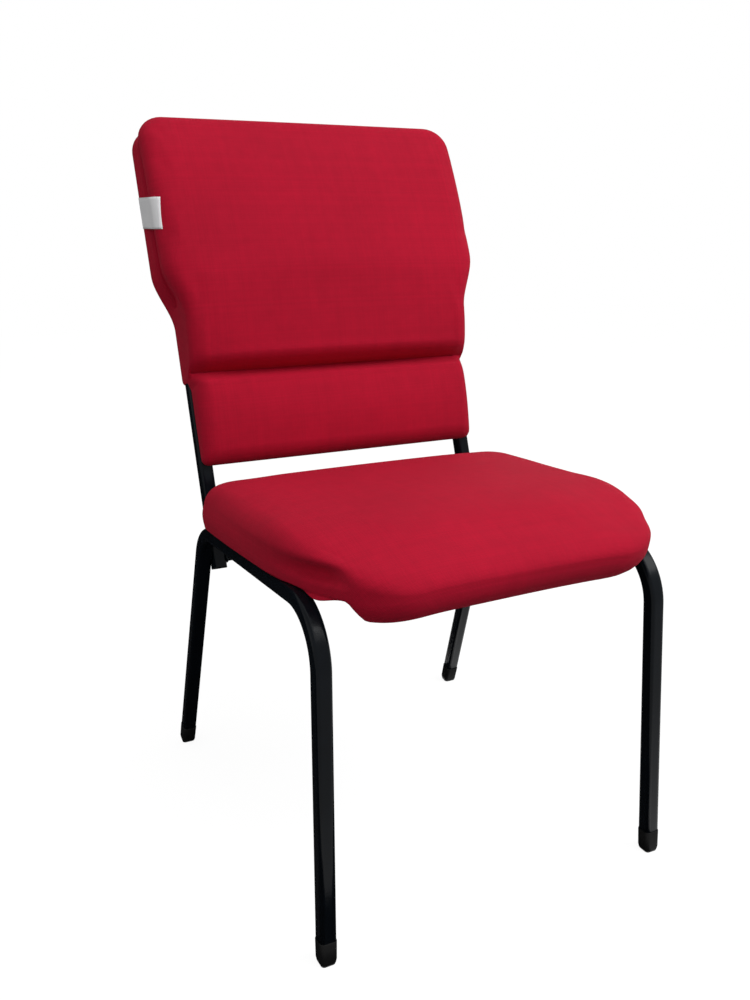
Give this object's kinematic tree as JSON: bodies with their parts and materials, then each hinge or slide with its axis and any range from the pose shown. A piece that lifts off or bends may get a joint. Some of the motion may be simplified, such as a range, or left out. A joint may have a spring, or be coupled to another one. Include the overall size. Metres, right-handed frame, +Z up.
{
  "type": "choir chair",
  "caption": "Stacking choir chair with a bent square-tube frame, a waterfall seat with a front roll and a winged upholstered back with a sewn lumbar channel.",
  "frame": {"origin": "on the floor, at the middle of the bounding box", "axes": "+Z up, -Y the way the sitter faces, +X to the right as seen from the front"},
  "size_m": [0.4856, 0.6558, 0.9005],
  "materials": {
    "frame_enamel": "gloss black enamel",
    "foot_plastic": "satin black moulded plastic",
    "cover_fabric": "red woven upholstery fabric over foam",
    "lining_fabric": "plain red lining",
    "dust_fabric": "black non-woven dust cover",
    "board_wood": "bare plywood",
    "zinc_steel": "zinc plated",
    "black_steel": "black oxide",
    "clip_plastic": "natural nylon",
    "label_cloth": "blank white satin tape"
  },
  "bodies": {
    "root": {"left_side_frame": "frame_enamel", "right_side_frame": "frame_enamel", "front_cross_tube": "frame_enamel", "rear_cross_tube": "frame_enamel", "left_upright": "frame_enamel", "right_upright": "frame_enamel", "back_cross_bar": "frame_enamel", "upright_plugs": "foot_plastic", "front_left_foot": "foot_plastic", "front_right_foot": "foot_plastic", "rear_left_foot": "foot_plastic", "rear_right_foot": "foot_plastic", "seat_tabs": "frame_enamel", "seat_board": "board_wood", "seat_dust_cover": "dust_fabric", "seat_cushion": "cover_fabric", "seat_screws": "black_steel", "seat_washers": "zinc_steel", "seat_tee_nuts": "zinc_steel", "back_tabs": "frame_enamel", "back_board": "board_wood", "back_lining": "lining_fabric", "back_cushion": "cover_fabric", "rear_panel": "cover_fabric", "rear_panel_clips": "clip_plastic", "back_screws": "black_steel", "back_washers": "zinc_steel", "back_tee_nuts": "zinc_steel", "side_label": "label_cloth"}
  },
  "joints": []
}
